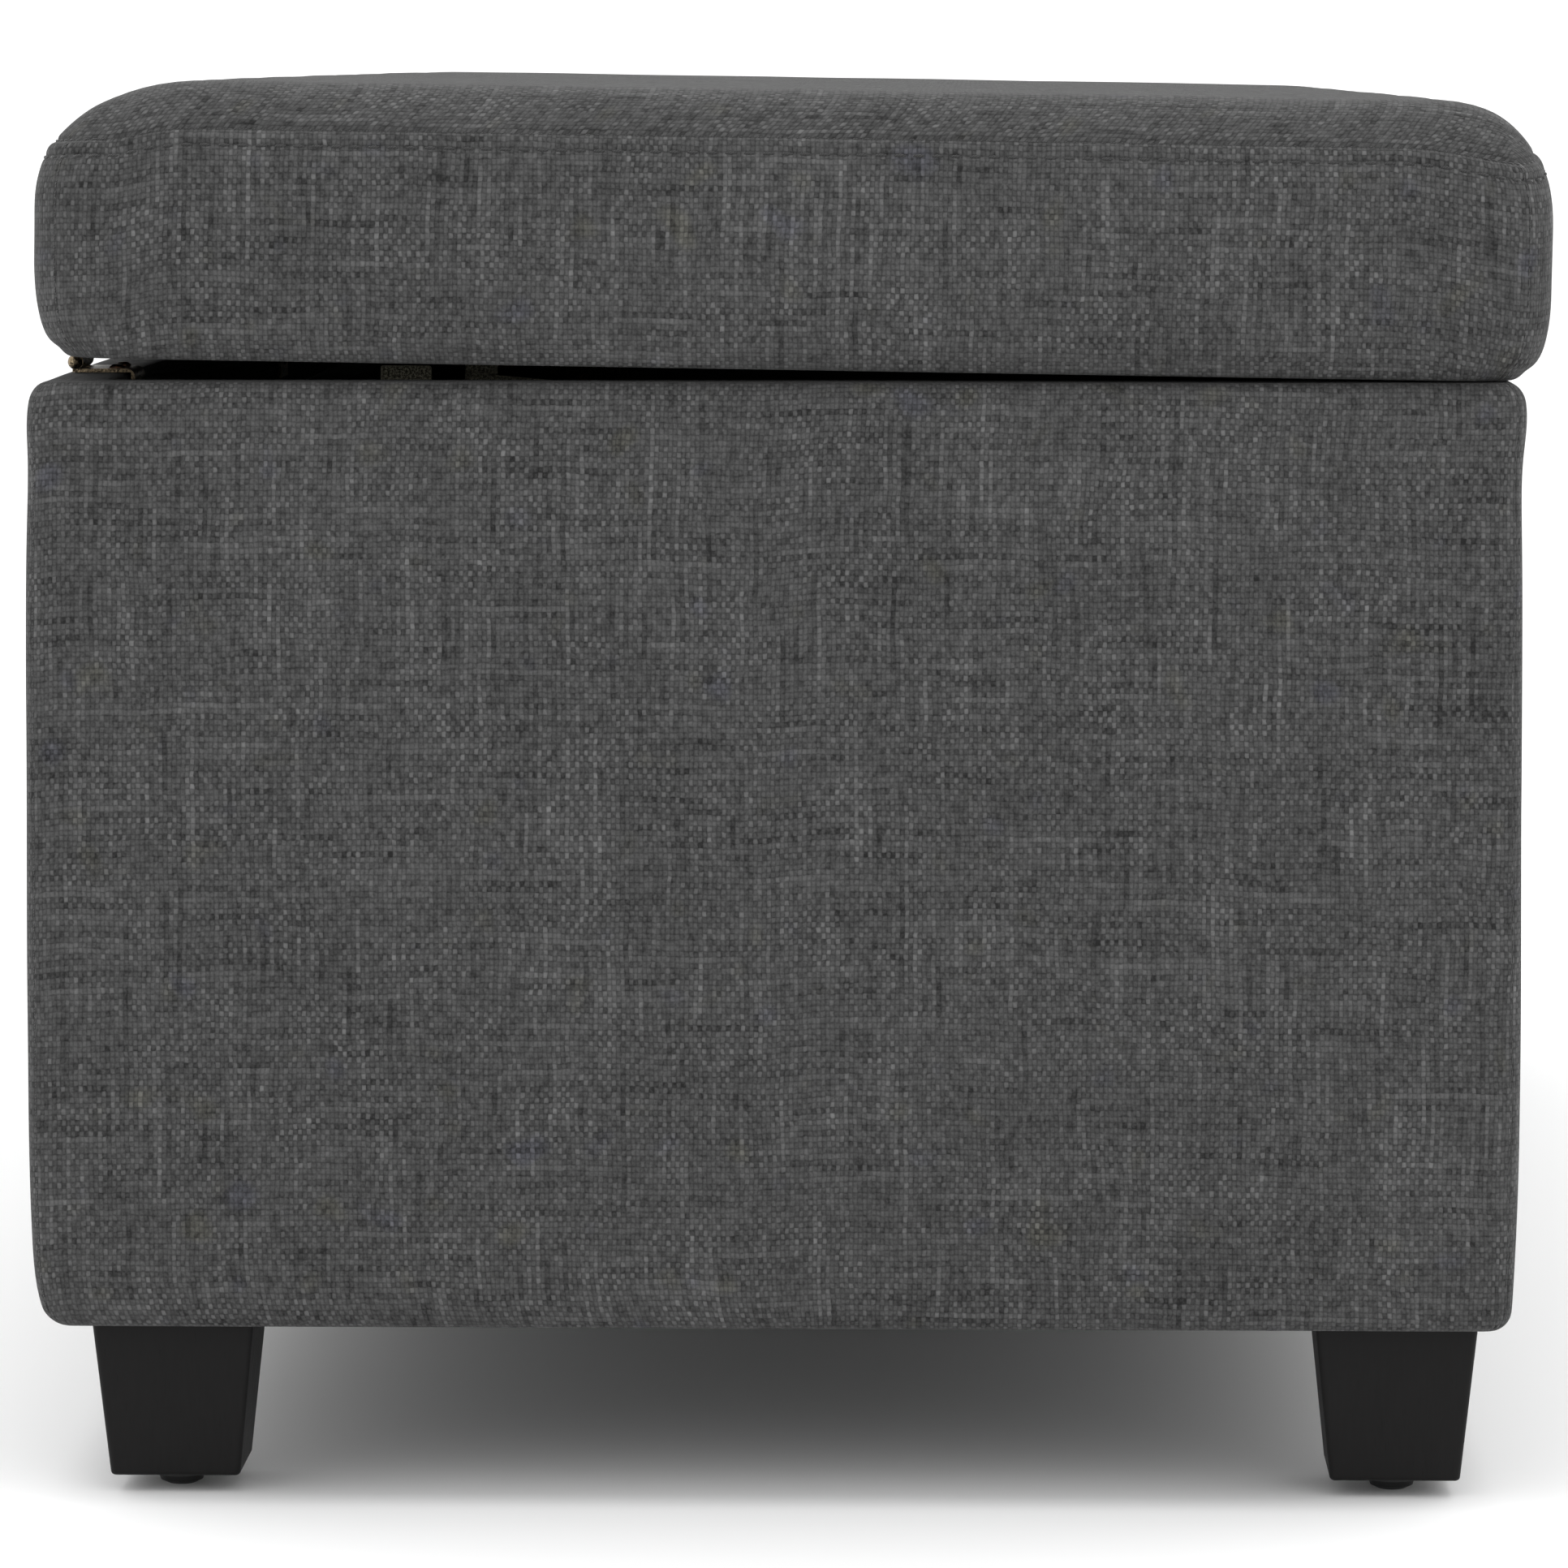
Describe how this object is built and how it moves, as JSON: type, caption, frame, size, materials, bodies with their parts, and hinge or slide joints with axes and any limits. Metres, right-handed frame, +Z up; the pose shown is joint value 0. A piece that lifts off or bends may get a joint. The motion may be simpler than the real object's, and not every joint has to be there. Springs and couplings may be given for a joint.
{
  "type": "storage ottoman",
  "caption": "Long upholstered storage ottoman: a padded lid on rear butt hinges with a lid stay at each end, over a lined box on four tapered feet.",
  "frame": {"origin": "middle of the footprint, on the floor", "axes": "+X along the length, -Y to the front, +Y to the hinges, +Z up"},
  "size_m": [1.219, 0.4832, 0.4544],
  "materials": {
    "upholstery_fabric": "matte",
    "polyester_wadding": "matte",
    "foam": "matte",
    "lining_cloth": "matte",
    "nonwoven_cloth": "matte",
    "plywood": "matte",
    "pine": "matte",
    "stained_wood": "satin",
    "black_plastic": "matte",
    "zinc_steel": "satin",
    "antique_brass": "satin",
    "bronze_screw_steel": "satin",
    "spring_steel": "satin",
    "stay_steel": "satin"
  },
  "bodies": {
    "base": {"back_batten": "pine", "back_foam": "foam", "back_left_corner_block": "pine", "back_left_foot": "stained_wood", "back_panel": "plywood", "back_right_corner_block": "pine", "back_right_foot": "stained_wood", "base_cover": "upholstery_fabric", "base_leaf_screws": "bronze_screw_steel", "dust_cover": "nonwoven_cloth", "dust_cover_staples": "zinc_steel", "foot_bolts": "zinc_steel", "foot_glides": "black_plastic", "front_batten": "pine", "front_foam": "foam", "front_left_corner_block": "pine", "front_left_foot": "stained_wood", "front_panel": "plywood", "front_right_corner_block": "pine", "front_right_foot": "stained_wood", "hinge_pins": "antique_brass", "left_end_panel": "plywood", "left_foam": "foam", "left_hinge_base_leaf": "antique_brass", "left_stay_plate": "stay_steel", "left_stay_spring": "spring_steel", "lining_floor": "lining_cloth", "lining_walls": "lining_cloth", "middle_hinge_base_leaf": "antique_brass", "right_end_panel": "plywood", "right_foam": "foam", "right_hinge_base_leaf": "antique_brass", "right_stay_plate": "stay_steel", "right_stay_spring": "spring_steel", "stay_drum_studs": "stay_steel", "stay_plate_screws": "bronze_screw_steel", "storage_floor_panel": "plywood", "tee_nuts": "zinc_steel", "wall_screws": "zinc_steel"},
    "lid": {"left_hinge_lid_leaf": "antique_brass", "left_stay_lid_bracket": "stay_steel", "lid_board": "plywood", "lid_bracket_screws": "bronze_screw_steel", "lid_cover": "upholstery_fabric", "lid_foam": "foam", "lid_leaf_screws": "bronze_screw_steel", "lid_staples": "zinc_steel", "lid_underside_cloth": "nonwoven_cloth", "lid_wadding": "polyester_wadding", "middle_hinge_lid_leaf": "antique_brass", "right_hinge_lid_leaf": "antique_brass", "right_stay_lid_bracket": "stay_steel", "stay_lid_rivets": "stay_steel"},
    "left_lower_arm": {"left_stay_lower_arm": "stay_steel", "left_stay_elbow_rivet": "stay_steel"},
    "left_upper_arm": {"left_stay_upper_arm": "stay_steel"},
    "right_lower_arm": {"right_stay_lower_arm": "stay_steel", "right_stay_elbow_rivet": "stay_steel"},
    "right_upper_arm": {"right_stay_upper_arm": "stay_steel"}
  },
  "joints": [
    {"name": "lid_hinge", "type": "hinge", "parent": "base", "child": "lid", "pos_m": [0, 0.23263, 0.3637], "axis": [-1, 0, 0], "range_deg": [0, 95]},
    {"name": "left_lower_arm_turn", "type": "hinge", "parent": "base", "child": "left_lower_arm", "pos_m": [-0.5672, 0.12373, 0.35395], "axis": [-1, 0, 0], "range_deg": [0, 95]},
    {"name": "left_elbow_turn", "type": "hinge", "parent": "left_lower_arm", "child": "left_upper_arm", "pos_m": [-0.5634, -0.00998, 0.34695], "axis": [-1, 0, 0], "range_deg": [-95, 0]},
    {"name": "right_lower_arm_turn", "type": "hinge", "parent": "base", "child": "right_lower_arm", "pos_m": [0.5672, 0.12373, 0.35395], "axis": [-1, 0, 0], "range_deg": [0, 95]},
    {"name": "right_elbow_turn", "type": "hinge", "parent": "right_lower_arm", "child": "right_upper_arm", "pos_m": [0.5634, -0.00998, 0.34695], "axis": [-1, 0, 0], "range_deg": [-95, 0]}
  ],
  "couplings": [
    {"joint": "left_lower_arm_turn", "follows": "lid_hinge", "ratio": 1},
    {"joint": "left_elbow_turn", "follows": "lid_hinge", "ratio": -1},
    {"joint": "right_lower_arm_turn", "follows": "lid_hinge", "ratio": 1},
    {"joint": "right_elbow_turn", "follows": "lid_hinge", "ratio": -1}
  ]
}
